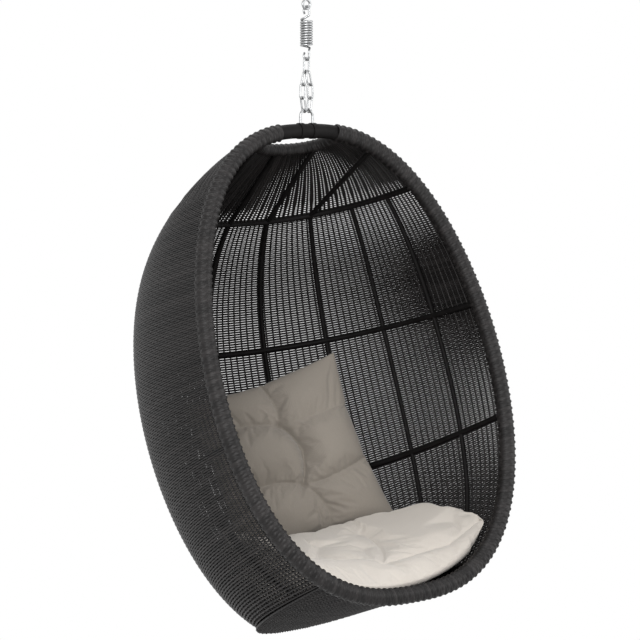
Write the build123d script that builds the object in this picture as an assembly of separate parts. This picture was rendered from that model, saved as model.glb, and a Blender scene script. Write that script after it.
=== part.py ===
# Hanging chair: a woven egg-shaped pod on a welded rod frame, hung by a doubled chain and a spring from a swivel.
# Millimetres, +Z up, front towards -Y. The origin is the centre of the swivel's upper eye, which carries everything.
import os
from math import acos, asin, cos, exp, pi, radians, sin, sqrt
from build123d import *

# Swivel: an upper eye with a bell, a screwed-in cap, a ring of balls and a shank that turns in it
eye_bore_radius = 8.0
eye_outer_radius = 16.0
eye_thickness = 10.0
neck_radius = 7.0
bell_radius = 13.0
bell_bore_radius = 10.5
bell_top = -22.0
bell_height = 24.0
bell_roof = 5.0
cap_height = 6.0
cap_clearance = 0.05
ball_radius = 1.8
ball_count = 10
ball_clearance = 0.03
shank_head_radius = 9.8
shank_head_height = 4.0
shank_radius = 5.0
shank_clearance = 0.1
shank_below_bell = 6.0
ring_radius = 11.5
ring_wire_radius = 3.5

# Spring with a hook at each end
spring_wire_radius = 2.8
spring_coil_radius = 14.2
spring_pitch = 6.5
spring_turns = 10
hook_radius = 11.0
hook_reach = 26.0
hook_opening = 45.0

# Chain: one top link, then two runs of three links down to the pod's eye
link_wire_radius = 2.5
link_inner_length = 35.0
link_inner_width = 11.0
links_per_run = 3
run_spread = (2.68, 11.6, 13.2, 7.0)
wire_gap = 0.3

# Pod eye, a bent rod welded on the hoop, with a binding round the hoop at each foot
pod_eye_half_width = 20.0
pod_eye_wire_radius = 3.5
pod_eye_height = 57.0
binding_length = 15.0
binding_thickness = 2.0

# Front hoop: an egg that leans with its foot forward
pod_lean = 20.5
hoop_height = 1230.0
hoop_half_width = 460.0
hoop_squareness = 0.77
hoop_low_bulge = 0.043
hoop_tube_radius = 19.0
hoop_wall = 1.6
wrap_thickness = 2.5
bare_half_length = 92.0

# Bows, each from the hoop round the back: distance down the hoop, depth and slope to the hoop's plane
bow_fullness = 2.4
bow_down = tuple(hoop_height * share for share in (0.1301, 0.4, 0.6504, 0.9512))
bow_depth = (415.0, 638.0, 640.0, 520.0)
bow_slope = (-5.2, -5.0, 3.0, 5.0)
bow_names = ("upper_bow", "middle_bow", "lower_bow", "base_bow")
bow_radius = 8.0
top_bow_down = 11.0
top_bow_depth = 130.0
top_bow_slope = -2.0
top_bow_radius = 12.5
top_bow_wrap_thickness = 3.5

# Ribs, evenly spaced along every bow, and bars under the seat
rib_radius = 6.5
rib_names = ("right_rib_4", "right_rib_3", "right_rib_2", "right_rib_1", "centre_rib",
             "left_rib_1", "left_rib_2", "left_rib_3", "left_rib_4")
rib_stations = 7
cap_ribs_each_side = 2
cap_rib_spread = 0.27
cap_side_rib_down = 0.039 * hoop_height
base_bar_spacing = 125.0
base_bar_radius = 5.5
base_bar_rise = 8.6
weld_gap = 0.15

# Woven skin, outside the rods
skin_gap = 0.8
skin_thickness = 3.5
wall_sections = 9
cap_sections = 5
base_sections = 8
grid_columns = 10
wall_grid_rows = 6
cap_grid_rows = 1
grid_width_share = 0.42
grid_height_share = 0.4
grid_depth = 60.0

# Seat cushion: a thick pad that fills the foot of the pod, its ends riding up the walls
seat_half_width = 0.728 * hoop_half_width
seat_front = 34.0
seat_back = 462.0
seat_end_front = 120.0
seat_end_back = 290.0
seat_top_down = hoop_height - 110.0
seat_top_line = 150.0
seat_top_slope = 33.0
seat_end_rise = 82.0
seat_clearance = base_bar_radius + base_bar_rise + 2.3
seat_crown = 12.0
seat_sag = 5.0
seat_side_bulge = 16.0
seat_sections = 7
seat_tuft_radius = 70.0
seat_tuft_depth = 16.0
seat_tuft_spots = ((0.0, 130.0), (-170.0, 240.0), (170.0, 240.0))

# Back cushion: a square pillow with pointed corners and two sewn tufts
pillow_half_width = 225.0
pillow_half_height = 238.0
pillow_half_thickness = 62.0
pillow_drawn_in = 18.0
pillow_seam = 4.0
pillow_fullness = 0.66
pillow_places = (-1.0, -0.9, -0.65, -0.3, 0.0, 0.3, 0.65, 0.9, 1.0)
pillow_corner_side = -79.0
pillow_corner_back = 0.9205 * bow_depth[2]
pillow_corner_up = 192.0
pillow_turn = -30.0
pillow_recline = 18.0
pillow_roll = 18.0
pillow_tuft_spacing = 172.0
pillow_tuft_radius = 55.0
pillow_tuft_depth = 24.0
pillow_fold_radius = 45.0
pillow_fold_depth = 12.0

# Heights that follow from the sizes above
bell_bottom = bell_top - bell_height
ring_centre = bell_bottom - shank_below_bell - ring_radius - ring_wire_radius
ring_bottom = ring_centre - ring_radius
upper_hook_top = ring_bottom + ring_wire_radius + spring_wire_radius + wire_gap
coil_top = upper_hook_top - hook_radius - hook_reach
coil_length = spring_pitch * spring_turns
coil_bottom = coil_top - coil_length
lower_hook_bottom = coil_bottom - hook_reach - hook_radius
link_length = link_inner_length + 2 * link_wire_radius
link_bend = link_inner_width / 2 + link_wire_radius
link_step = 2 * link_wire_radius + wire_gap
top_link_top = lower_hook_bottom + spring_wire_radius + link_wire_radius + wire_gap
top_link_bottom = top_link_top - link_length


def run_points(side):
    # Wire centres at the top and bottom of each link of one run, as (x, z) pairs
    x = [side * spread for spread in run_spread]
    z = top_link_bottom + link_bend - sqrt((link_bend - link_step) ** 2 - run_spread[0] ** 2)
    points = []
    for i in range(links_per_run):
        drop = sqrt(link_length ** 2 - (x[i + 1] - x[i]) ** 2)
        points.append(((x[i], z), (x[i + 1], z - drop)))
        z = z - drop + link_step
    return points


pod_eye_inside = pod_eye_half_width - link_wire_radius - pod_eye_wire_radius - wire_gap
last_link_bottom = run_points(1)[-1][1][1]
pod_eye_top = last_link_bottom + pod_eye_half_width - sqrt(pod_eye_inside ** 2 - run_spread[-1] ** 2)
hoop_top = pod_eye_top - pod_eye_height
wrap_radius = hoop_tube_radius + wrap_thickness
top_bow_wrap_radius = top_bow_radius + top_bow_wrap_thickness
skin_inner = bow_radius + skin_gap
skin_start = wrap_radius + skin_gap


# Shared geometry

def pod(x, n, s):
    # A point of the pod: x to the right, n back from the hoop's plane, s down along it from the hoop's top
    lean = radians(pod_lean)
    return Vector(x, n * cos(lean) - s * sin(lean), hoop_top - s * cos(lean) - n * sin(lean))


def hoop_half(s):
    # Half width of the hoop's centreline at s
    turn = acos(max(-1.0, min(1.0, 1 - 2 * s / hoop_height)))
    return hoop_half_width * sin(turn) ** hoop_squareness * exp(-hoop_low_bulge * cos(turn))


def through_bows(values, s):
    # The cubic through one value per bow, read at s
    total = 0.0
    for i, value in enumerate(values):
        for j, other in enumerate(bow_down):
            if j != i:
                value *= (s - other) / (bow_down[i] - other)
        total += value
    return total


def wall_shape(s):
    # Half width, depth and slope of the pod's level curve that leaves the hoop at s
    return hoop_half(s), through_bows(bow_depth, s), through_bows(bow_slope, s)


def cap_shape(s):
    # The same above the upper bow, where the profile runs straight to the top bow
    share = (s - top_bow_down) / (bow_down[0] - top_bow_down)
    depth = top_bow_depth + share * (bow_depth[0] - top_bow_depth)
    top_drop = top_bow_depth * sin(radians(top_bow_slope))
    drop = top_drop + share * (bow_depth[0] * sin(radians(bow_slope[0])) - top_drop)
    return hoop_half(s), depth, asin(drop / depth) * 180 / pi


def level_point(shape, s, turn):
    # A point of a level curve, a superellipse; turn runs from 0 at the right end to 180 at the left end
    width, depth, slope = shape
    power = 2 / bow_fullness
    c, q = cos(radians(turn)), sin(radians(turn))
    x = width * (abs(c) ** power) * (1 if c > 0 else -1)
    back = depth * max(q, 0.0) ** power
    return pod(x, back * cos(radians(slope)), s + back * sin(radians(slope)))


def turn_at_share(shape, s, share, steps=240):
    # The turn at which a given share of the level curve's length has passed
    points = [level_point(shape, s, 180 * i / steps) for i in range(steps + 1)]
    lengths = [(b - a).length for a, b in zip(points, points[1:])]
    left = share * sum(lengths)
    for i, length in enumerate(lengths):
        if left <= length:
            return 180 * (i + left / length) / steps
        left -= length
    return 180.0


def turn_at_back(shape, back):
    # The turn at which a level curve is a given distance behind the hoop's plane
    share = back / shape[1]
    return acos(sqrt(max(0.0, 1 - share ** bow_fullness))) * 180 / pi


def arc_path(points, headings):
    # Tangent arcs, two between neighbouring points, that leave each point along its heading
    edges = []
    for p, q, t, u in zip(points, points[1:], headings, headings[1:]):
        t, u, v = t.normalized(), u.normalized(), q - p
        a, b, c = 2 * (1 - t.dot(u)), 2 * v.dot(t + u), -v.dot(v)
        d = -c / b if a < 1e-9 else (-b + sqrt(b * b - 4 * a * c)) / (2 * a)
        first, second = p + t * d, q - u * d
        middle = (first + second) * 0.5
        edges += [arc_or_line(p, middle, t), arc_or_line(middle, q, (second - first).normalized())]
    return Wire(edges)


def arc_or_line(start, end, heading):
    if heading.cross((end - start).normalized()).length < 1e-4:
        return Line(start, end)
    return TangentArc(start, end, tangent=heading)


def curve_path(curve, stations, step=0.01):
    # An arc path along a curve given as a function of one value
    points = [curve(t) for t in stations]
    headings = [curve(t + step) - curve(t - step) for t in stations]
    return arc_path(points, headings)


def tube(path, radius):
    return sweep(Plane(path @ 0, z_dir=path % 0) * Circle(radius), path=path)


def only_solids(shape):
    return list(shape.solids())


def ease_ends(u):
    # Stations from 0 to 1 that crowd towards both ends
    return u - 0.11 * sin(2 * pi * u)


# Suspension

def swivel_body():
    eye = Cylinder(eye_outer_radius, eye_thickness, rotation=(90, 0, 0))
    profile = Polyline((0, bell_top + 10), (neck_radius, bell_top + 10), (neck_radius, bell_top + 3),
                       (bell_radius, bell_top - 3), (bell_radius, bell_bottom), (bell_bore_radius, bell_bottom),
                       (bell_bore_radius, bell_top - bell_roof), (0, bell_top - bell_roof), close=True)
    bell = revolve(Plane.XZ * make_face(profile), Axis.Z)
    bore = Cylinder(eye_bore_radius, 2 * eye_thickness, rotation=(90, 0, 0))
    return eye + bell - bore


def swivel_cap():
    ring = Cylinder(bell_bore_radius - cap_clearance, cap_height)
    ring -= Cylinder(shank_radius + shank_clearance, cap_height)
    return Pos(0, 0, bell_bottom + cap_height / 2) * ring


def swivel_balls():
    track = (bell_bore_radius + shank_radius) / 2
    height = bell_bottom + cap_height + ball_radius + ball_clearance
    return [spot * Pos(0, 0, height) * Sphere(ball_radius)
            for spot in PolarLocations(track, ball_count)]


def swivel_shank():
    head_bottom = bell_bottom + cap_height + 2 * (ball_radius + ball_clearance)
    head = Pos(0, 0, head_bottom + shank_head_height / 2) * Cylinder(shank_head_radius, shank_head_height)
    stem_bottom = ring_centre + ring_radius
    stem = Pos(0, 0, (head_bottom + stem_bottom) / 2) * Cylinder(shank_radius, head_bottom - stem_bottom)
    ring = Pos(0, 0, ring_centre) * Torus(ring_radius, ring_wire_radius, rotation=(90, 0, 0))
    return head + stem + ring


def hook(level, bend_level, up):
    # Half a turn carries on from the coil to its axis, then the wire runs out to an open bend; up is 1 or -1
    side, hand = spring_coil_radius, -up
    gap = up * (spring_wire_radius * 2 + 0.6)
    leave = Vector(hand, 0, up * spring_pitch / (2 * pi * side)).normalized()
    start = Vector(0, side, level) + leave * weld_gap
    lean = Vector(0, -hook_radius, bend_level - up * hook_radius)
    path = [start, Vector(hand * side * 0.72, side * 0.5, level + gap * 0.5),
            Vector(hand * side * 0.45, -side * 0.35, level + gap * 1.3), Vector(0, -hook_radius, level + gap * 2.4), lean]
    headings = [leave, Vector(hand * 0.25, -1, up * 0.35), Vector(hand * -0.9, -0.55, up * 0.9),
                Vector(hand * -0.2, -0.1, up), Vector(0, 0, up)]
    top = Vector(0, 0, bend_level)
    open_angle = radians(hook_opening)
    tip = Vector(0, hook_radius * cos(open_angle), bend_level - up * (hook_radius + hook_radius * sin(open_angle)))
    path += [top, Vector(0, hook_radius, bend_level - up * hook_radius), tip]
    headings += [Vector(0, 1, 0), Vector(0, 0, -up), Vector(0, -sin(open_angle), -up * cos(open_angle))]
    return tube(arc_path(path, headings), spring_wire_radius)


def coil_point(turns):
    angle = 2 * pi * turns
    return Vector(spring_coil_radius * sin(angle), spring_coil_radius * cos(angle), coil_top - spring_pitch * turns)


def suspension_spring():
    quarter_turns = 4 * spring_turns
    path = curve_path(coil_point, [i / 4 for i in range(quarter_turns + 1)])
    samples = [path @ (i / 800) for i in range(801)]
    per_turn = 800 // spring_turns
    closest = min((samples[j] - samples[i]).length for i in range(0, 801, 10)
                  for j in range(i + per_turn // 2, min(i + 2 * per_turn, 801)))
    print(f"spring: least gap between turns {closest - 2 * spring_wire_radius:.2f} mm")
    return tube(path, spring_wire_radius)


def chain_link(top, bottom, across):
    # One welded link between two wire centres, its width along the across direction
    top, bottom, across = Vector(*top), Vector(*bottom), Vector(*across)
    along = (bottom - top).normalized()
    normal = along.cross(across).normalized()
    across = normal.cross(along).normalized()
    half = across * link_bend
    upper, lower = top + along * link_bend, bottom - along * link_bend
    path = Wire([Line(upper + half, lower + half), ThreePointArc(lower + half, bottom, lower - half),
                 Line(lower - half, upper - half), ThreePointArc(upper - half, top, upper + half)])
    return tube(path, link_wire_radius)


def chain_run(side):
    # The links of one run, turned a quarter from each to the next
    links = []
    for i, ((x0, z0), (x1, z1)) in enumerate(run_points(side)):
        across = (0, 1, 0) if i % 2 == 0 else (1, 0, 0)
        links.append(chain_link((x0, 0, z0), (x1, 0, z1), across))
    return links


def pod_eye_rod():
    w, bend = pod_eye_half_width, pod_eye_half_width
    foot, spring_line = hoop_top, pod_eye_top - bend
    path = Wire([Line((-w, 0, foot), (-w, 0, spring_line)), ThreePointArc((-w, 0, spring_line), (0, 0, pod_eye_top),
                 (w, 0, spring_line)), Line((w, 0, spring_line), (w, 0, foot))])
    return tube(path, pod_eye_wire_radius)


def eye_binding(x):
    # A short sleeve round the hoop's flat top, with a hole for one leg of the eye
    sleeve = Cylinder(hoop_tube_radius + binding_thickness, binding_length)
    sleeve -= Cylinder(hoop_tube_radius + 3 * weld_gap, binding_length)
    leg = Pos(x, 0, hoop_top + pod_eye_height / 2) * Cylinder(pod_eye_wire_radius + weld_gap, pod_eye_height)
    return Pos(x, 0, hoop_top) * Rot(0, 90, 0) * sleeve - leg


# Frame

def hoop_point(turn):
    # The hoop's centreline; turn runs from 0 at the top through the right side and once round
    s = hoop_height / 2 * (1 - cos(turn))
    return pod(hoop_half(s) * (1 if sin(turn) >= 0 else -1), 0, s)


def hoop_stations(start, end, count=10):
    # Stations down the right side and up the left, crowded towards the top and the foot
    right = [pi * ease_ends(i / count) for i in range(count + 1)]
    both = right + [2 * pi - t for t in reversed(right[:-1])]
    return [start] + [t for t in both if start < t < end] + [end]


def hoop_path(start=0.0, end=2 * pi):
    stations = hoop_stations(start, end)
    points = [hoop_point(t) for t in stations]
    step = 0.002
    headings = [hoop_point(t + step) - hoop_point(t - step) for t in stations]
    for i, t in enumerate(stations):
        if min(abs(t - flat) for flat in (0, pi, 2 * pi)) < 1e-6:
            headings[i] = Vector(-1 if abs(t - pi) < 1e-6 else 1, 0, 0)
    return arc_path(points, headings)


def turn_at_length(length):
    # The turn at which the hoop has run a given length from its top
    turn, run, last = 0.0, 0.0, hoop_point(0.0)
    while run < length:
        turn += 0.0005
        point = hoop_point(turn)
        run += (point - last).length
        last = point
    return turn


def level_path(shape, s, quarter=5):
    # The centreline of a bow, from end to end
    stations = [90 * ease_ends(i / quarter) for i in range(quarter + 1)]
    stations += [180 - t for t in reversed(stations[:-1])]
    points = [level_point(shape, s, t) for t in stations]
    headings = [level_point(shape, s, t + 0.05) - level_point(shape, s, t - 0.05) for t in stations[1:-1]]
    lean = radians(pod_lean + shape[2])
    back = Vector(0, cos(lean), -sin(lean))
    headings = [back] + headings + [back * -1]
    headings[quarter] = Vector(-1, 0, 0)
    return arc_path(points, headings)


def rib_point(share, s):
    shape = wall_shape(s)
    return level_point(shape, s, turn_at_share(shape, s, share))


def wall_rib(share):
    # One rib from the upper bow to the base bow
    first, last = bow_down[0], bow_down[-1]
    stations = [first + (last - first) * i / rib_stations for i in range(rib_stations + 1)]
    return tube(curve_path(lambda s: rib_point(share, s), stations, step=2.0), rib_radius)


def straight_rod(start, end, radius):
    return tube(Wire([Line(start, end)]), radius)


def cap_rib(place, radius):
    # The part of a rib above the upper bow; place counts ribs from the centre, and the outer two end on the hoop
    start = rib_point(0.5 - place / (len(rib_names) + 1), bow_down[0])
    if abs(place) < cap_ribs_each_side:
        shape = cap_shape(top_bow_down)
        end = level_point(shape, top_bow_down, turn_at_share(shape, top_bow_down, 0.5 - place * cap_rib_spread))
    else:
        end = pod(hoop_half(cap_side_rib_down) * (1 if place > 0 else -1), 0, cap_side_rib_down)
    return straight_rod(start, end, radius)


def base_bar(x, radius):
    # A bar under the seat from the base bow forward to the hoop's foot
    low, high = hoop_height / 2, hoop_height
    for _ in range(40):
        s = (low + high) / 2
        low, high = (s, high) if hoop_half(s) > abs(x) else (low, s)
    shape = wall_shape(bow_down[-1])
    share = (abs(x) / shape[0]) ** (bow_fullness / 2)
    turn = acos(share) * 180 / pi
    end = level_point(shape, bow_down[-1], turn if x >= 0 else 180 - turn)
    return straight_rod(end, pod(x, 0, low - base_bar_rise), radius)


# Woven skin

def outside(shape_at, s, out):
    # The level curve moved out square to the wall, which leans more where its width or depth changes faster
    width, depth, slope = shape_at(s)
    ahead, behind = shape_at(s + 1), shape_at(s - 1)
    across, back = (ahead[0] - behind[0]) / 2, (ahead[1] - behind[1]) / 2
    return width + out * sqrt(1 + across ** 2), depth + out * sqrt(1 + back ** 2), slope


def skin_section(shape_at, s, stations=10):
    # One thin crescent of the skin, in the plane of a level curve
    outlines = []
    for out in (skin_inner, skin_inner + skin_thickness):
        shape = outside(shape_at, s, out)
        first = turn_at_back(shape, skin_start)
        turns = [first + (90 - first) * ease_ends(i / stations) for i in range(stations + 1)]
        turns += [180 - t for t in reversed(turns[:-1])]
        outlines.append([level_point(shape, s, t) for t in turns])
    inner, outer = outlines
    edges = [Spline(*inner), Line(inner[-1], outer[-1]), Spline(*reversed(outer)), Line(outer[0], inner[0])]
    return Face(Wire(edges))


def skin(shape_at, start, end, count):
    levels = [start + (end - start) * i / (count - 1) for i in range(count)]
    return loft([skin_section(shape_at, s) for s in levels])


def skin_openings(shape_at, start, end, rows):
    # A plain grid of cutters, one column between each two ribs, that stands for the gaps between the strands
    cutters = []
    middle = skin_inner + skin_thickness / 2
    for i in range(rows):
        s = start + (end - start) * (i + 0.5) / rows
        shape, above, below = (outside(shape_at, level, middle) for level in (s, s - 2, s + 2))
        for j in range(grid_columns):
            share = (j + 0.5) / grid_columns
            first, turn, last = (turn_at_share(shape, s, share + part / grid_columns) for part in (-0.1, 0, 0.1))
            centre = level_point(shape, s, turn)
            across = level_point(shape, s, last) - level_point(shape, s, first)
            down = (level_point(below, s + 2, turn) - level_point(above, s - 2, turn)) * (0.25 * (end - start) / rows)
            plane = Plane(centre, x_dir=across, z_dir=across.cross(down))
            width, height = across.length * 5 * grid_width_share, down.length * grid_height_share
            cutters.append(plane * Box(width, height, grid_depth))
    return cutters


def woven_base():
    # A shallow trough from the hoop's foot back to the base bow
    s0 = bow_down[-1]
    rod_width, rod_depth, slope = wall_shape(s0)
    width, depth, slope = outside(wall_shape, s0, skin_inner + skin_thickness)
    foot = hoop_height - s0
    sections = []
    for i in range(base_sections):
        share = i / base_sections
        back = skin_start + (depth - skin_start) * (1 - (1 - share) ** 2)
        half = width * (1 - (back / depth) ** bow_fullness) ** (1 / bow_fullness)
        rod_half = rod_width * max(0.0, 1 - (back / rod_depth) ** bow_fullness) ** (1 / bow_fullness)
        sag = foot * (1 - back / depth)
        steep = 2 * sag * rod_half / half ** 2
        under_rod = bow_radius * sqrt(1 + steep ** 2) + skin_gap - sag * (1 - (rod_half / half) ** 2)
        level = s0 + back * sin(radians(slope)) + under_rod
        n = back * cos(radians(slope))
        upper = ThreePointArc(pod(-half, n, level), pod(0, n, level + sag), pod(half, n, level))
        lower = ThreePointArc(pod(half, n, level + skin_thickness), pod(0, n, level + sag + skin_thickness),
                              pod(-half, n, level + skin_thickness))
        edges = [upper, Line(upper @ 1, lower @ 0), lower, Line(lower @ 1, upper @ 0)]
        sections.append(Face(Wire(edges)))
    return loft(sections)


# Cushions

def seat_floor(x, n):
    # How far down the seat may reach there, clear of the wall's rods and of the bars in the base
    slope = radians(bow_slope[-1])
    foot = hoop_height - bow_down[-1]
    across = max(0.0, 1 - (x / hoop_half(bow_down[-1])) ** 2)
    base = bow_down[-1] + n * sin(slope) + foot * (1 - n / bow_depth[-1]) * across - seat_clearance
    margin = bow_radius + seat_clearance / 2
    low, high = bow_down[1], base
    for _ in range(30):
        s = (low + high) / 2
        level = min(s - n * sin(radians(through_bows(bow_slope, s))), hoop_height - 1)
        width, depth, _slope = wall_shape(level)
        inside = ((abs(x) + margin) / width) ** bow_fullness + ((n + margin) / depth) ** bow_fullness < 1
        low, high = (s, high) if inside else (low, s)
    return low


def seat_top(x, n):
    rise = seat_end_rise * (abs(x) / seat_half_width) ** 2.2
    return seat_top_down - rise - (n - seat_top_line) * sin(radians(seat_top_slope))


def seat_section(x):
    # One slice of the seat cushion across its width, with four bulging sides
    share = abs(x) / seat_half_width
    bulge = seat_side_bulge * (1 - 0.6 * share ** 3)
    front = seat_front + (seat_end_front - seat_front) * share ** 3 + bulge
    back = seat_back + (seat_end_back - seat_back) * share ** 3 - bulge
    middle = (front + back) / 2
    front_low, middle_low, back_low = (seat_floor(x, n) for n in (front, middle, back))
    middle_low += seat_sag
    front_high, back_high = seat_top(x, front), seat_top(x, back)
    crown = seat_top(x, middle) - seat_crown * (1 - 0.6 * share)
    edges = [ThreePointArc(pod(x, front, front_low), pod(x, middle, middle_low), pod(x, back, back_low)),
             ThreePointArc(pod(x, back, back_low), pod(x, back + bulge, (back_low + back_high) / 2),
                           pod(x, back, back_high)),
             ThreePointArc(pod(x, back, back_high), pod(x, middle, crown), pod(x, front, front_high)),
             ThreePointArc(pod(x, front, front_high), pod(x, front - bulge, (front_low + front_high) / 2),
                           pod(x, front, front_low))]
    return Face(Wire(edges))


def seat_cushion():
    places = [seat_half_width * sin(pi / 2 * (2 * i / (seat_sections - 1) - 1)) for i in range(seat_sections)]
    cushion = loft([seat_section(x) for x in places])
    for x, n in seat_tuft_spots:
        above = pod(x, n, seat_top(x, n) - seat_crown - seat_tuft_radius + seat_tuft_depth)
        cushion -= Pos(above) * Sphere(seat_tuft_radius)
    return cushion


def pillow_plane():
    turn, recline, roll = radians(pillow_turn), radians(pillow_recline), radians(pillow_roll)
    normal = Vector(sin(turn) * cos(recline), -cos(turn) * cos(recline), sin(recline))
    level = Vector(cos(turn), sin(turn), 0)
    climb = normal.cross(level)
    across = level * cos(roll) + climb * sin(roll)
    corner = pod(pillow_corner_side, pillow_corner_back, hoop_height - pillow_corner_up)
    centre = corner + across * pillow_half_width + normal.cross(across) * pillow_half_height
    return Plane(centre, x_dir=across, z_dir=normal)


def pillow_section(x):
    # One slice of the pillow: thin at its two seams, full between them, and drawn in towards the middle
    share = abs(x) / pillow_half_width
    half = pillow_half_height - pillow_drawn_in * (1 - share ** 2)
    crown = pillow_seam + (pillow_half_thickness - pillow_seam) * sqrt(1 - share ** 2.4)
    full = pillow_seam + (crown - pillow_seam) * pillow_fullness
    front = [Vector(x, half * place, rise) for place, rise in
             ((-1, pillow_seam), (-0.72, full), (0, crown), (0.72, full), (1, pillow_seam))]
    back = [Vector(x, p.Y, -p.Z) for p in reversed(front)]
    return Face(Wire([Spline(*front), Line(front[-1], back[0]), Spline(*back), Line(back[-1], front[0])]))


def back_cushion():
    pillow = loft([pillow_section(pillow_half_width * share) for share in pillow_places])
    side_radius = (pillow_half_height ** 2 + pillow_drawn_in ** 2) / (2 * pillow_drawn_in)
    for side in (-1, 1):
        middle = side * (pillow_half_width - pillow_drawn_in + side_radius)
        pillow -= Pos(middle, 0, 0) * Cylinder(side_radius, 4 * pillow_half_thickness)
    rise = pillow_half_thickness + pillow_tuft_radius - pillow_tuft_depth
    for y in (-pillow_tuft_spacing / 2, pillow_tuft_spacing / 2):
        for face in (-1, 1):
            pillow -= Pos(0, y, face * rise) * Sphere(pillow_tuft_radius)
    fold = Cylinder(pillow_fold_radius, pillow_tuft_spacing, rotation=(90, 0, 0))
    pillow -= Pos(0, 0, pillow_half_thickness + pillow_fold_radius - pillow_fold_depth) * fold
    return pillow_plane() * pillow


# Assembly

def build():
    nodes = {"swivel_body": swivel_body(), "swivel_cap": swivel_cap(), "swivel_balls": swivel_balls(),
             "swivel_shank": swivel_shank(), "spring_upper_hook": hook(coil_top, upper_hook_top, 1),
             "suspension_spring": suspension_spring(), "spring_lower_hook": hook(coil_bottom, lower_hook_bottom, -1),
             "top_chain_link": chain_link((0, 0, top_link_top), (0, 0, top_link_bottom), (1, 0, 0))}
    for name, side in (("left", -1), ("right", 1)):
        for i, link in enumerate(chain_run(side)):
            nodes[f"{name}_chain_link_{i + 1}"] = link

    ring = hoop_path()
    filled_hoop = tube(ring, hoop_tube_radius + weld_gap)
    nodes["front_hoop"] = tube(ring, hoop_tube_radius) - tube(ring, hoop_tube_radius - hoop_wall)
    nodes["pod_eye"] = pod_eye_rod() - filled_hoop

    bare_turn = turn_at_length(bare_half_length)
    covered = hoop_path(bare_turn, 2 * pi - bare_turn)
    wrap = tube(covered, wrap_radius) - tube(covered, hoop_tube_radius + weld_gap)
    nodes["eye_bindings"] = [eye_binding(side * pod_eye_half_width) for side in (-1, 1)]

    shapes = [wall_shape(s) for s in bow_down]
    paths = [level_path(shape, s) for shape, s in zip(shapes, bow_down)]
    cutters = [tube(path, bow_radius + weld_gap) for path in paths]
    for name, path in zip(bow_names, paths):
        nodes[name] = tube(path, bow_radius) - filled_hoop
    top_path = level_path(cap_shape(top_bow_down), top_bow_down)
    top_cutter = tube(top_path, top_bow_wrap_radius + weld_gap)
    nodes["top_bow"] = tube(top_path, top_bow_radius) - filled_hoop
    wrapped_hoop = tube(ring, wrap_radius + weld_gap)
    top_wrap = tube(top_path, top_bow_wrap_radius) - tube(top_path, top_bow_radius + weld_gap)
    nodes["top_bow_wrap"] = top_wrap - wrapped_hoop

    middle = len(rib_names) // 2
    for i, name in enumerate(rib_names):
        pieces = only_solids(wall_rib((i + 1) / (len(rib_names) + 1)) - cutters)
        if abs(middle - i) <= cap_ribs_each_side:
            pieces += only_solids(cap_rib(middle - i, rib_radius) - [cutters[0], top_cutter, filled_hoop])
        nodes[name] = pieces
    bar_places = (-base_bar_spacing, 0, base_bar_spacing)
    bars = [base_bar(x, base_bar_radius) - [cutters[-1], filled_hoop] for x in bar_places]
    nodes["base_bars"] = [piece for bar in bars for piece in only_solids(bar)]

    wide = rib_radius + weld_gap
    holes = cutters + [tube(top_path, top_bow_radius + weld_gap)]
    holes += [cap_rib(place, wide) for place in (-cap_ribs_each_side, cap_ribs_each_side)]
    holes += [base_bar(x, base_bar_radius + weld_gap) for x in bar_places]
    nodes["hoop_wrap"] = wrap - holes

    cap_top = top_bow_down + top_bow_wrap_radius + 2 * skin_gap
    wall_end = bow_down[-1]
    cap = skin(cap_shape, bow_down[0] - skin_gap / 2, cap_top, cap_sections)
    nodes["woven_cap"] = cap - skin_openings(cap_shape, cap_top, bow_down[0], cap_grid_rows)
    wall = skin(wall_shape, bow_down[0] + skin_gap / 2, wall_end, wall_sections)
    nodes["woven_wall"] = wall - skin_openings(wall_shape, bow_down[0], wall_end, wall_grid_rows)
    nodes["woven_base"] = woven_base()
    nodes["seat_cushion"] = seat_cushion()
    nodes["back_cushion"] = back_cushion()
    return nodes


os.makedirs("parts", exist_ok=True)
for node, solid in build().items():
    shape = Compound(children=solid) if isinstance(solid, list) else solid
    export_step(shape, f"parts/{node}.step")
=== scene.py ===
import math

import bmesh
import bpy
import numpy as np
from mathutils import Matrix, Vector


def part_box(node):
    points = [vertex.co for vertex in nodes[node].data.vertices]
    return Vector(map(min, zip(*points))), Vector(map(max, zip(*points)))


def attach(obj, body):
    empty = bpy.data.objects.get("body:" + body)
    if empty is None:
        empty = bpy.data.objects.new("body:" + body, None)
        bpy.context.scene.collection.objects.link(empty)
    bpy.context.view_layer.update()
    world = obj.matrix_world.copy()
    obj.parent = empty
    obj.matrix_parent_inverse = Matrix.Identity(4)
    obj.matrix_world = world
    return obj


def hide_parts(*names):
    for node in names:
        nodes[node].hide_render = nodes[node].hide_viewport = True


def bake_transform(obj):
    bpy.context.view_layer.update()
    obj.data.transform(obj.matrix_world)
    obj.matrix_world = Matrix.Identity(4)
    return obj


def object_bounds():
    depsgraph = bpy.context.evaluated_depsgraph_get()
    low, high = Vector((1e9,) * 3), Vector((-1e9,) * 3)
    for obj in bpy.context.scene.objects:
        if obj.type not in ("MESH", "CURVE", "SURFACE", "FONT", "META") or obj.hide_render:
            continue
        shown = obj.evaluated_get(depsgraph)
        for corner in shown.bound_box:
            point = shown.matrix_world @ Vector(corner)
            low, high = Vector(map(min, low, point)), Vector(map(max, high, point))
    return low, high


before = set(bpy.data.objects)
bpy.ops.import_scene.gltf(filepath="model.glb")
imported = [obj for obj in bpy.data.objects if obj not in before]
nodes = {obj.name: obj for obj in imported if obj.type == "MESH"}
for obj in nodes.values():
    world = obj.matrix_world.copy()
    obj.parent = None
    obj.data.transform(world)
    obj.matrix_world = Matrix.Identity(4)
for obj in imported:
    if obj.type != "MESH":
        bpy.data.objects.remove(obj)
cadBox = [list(corner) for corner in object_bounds()]
rng = np.random.RandomState(11)
print("frame loaded:", len(nodes), "nodes")


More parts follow.
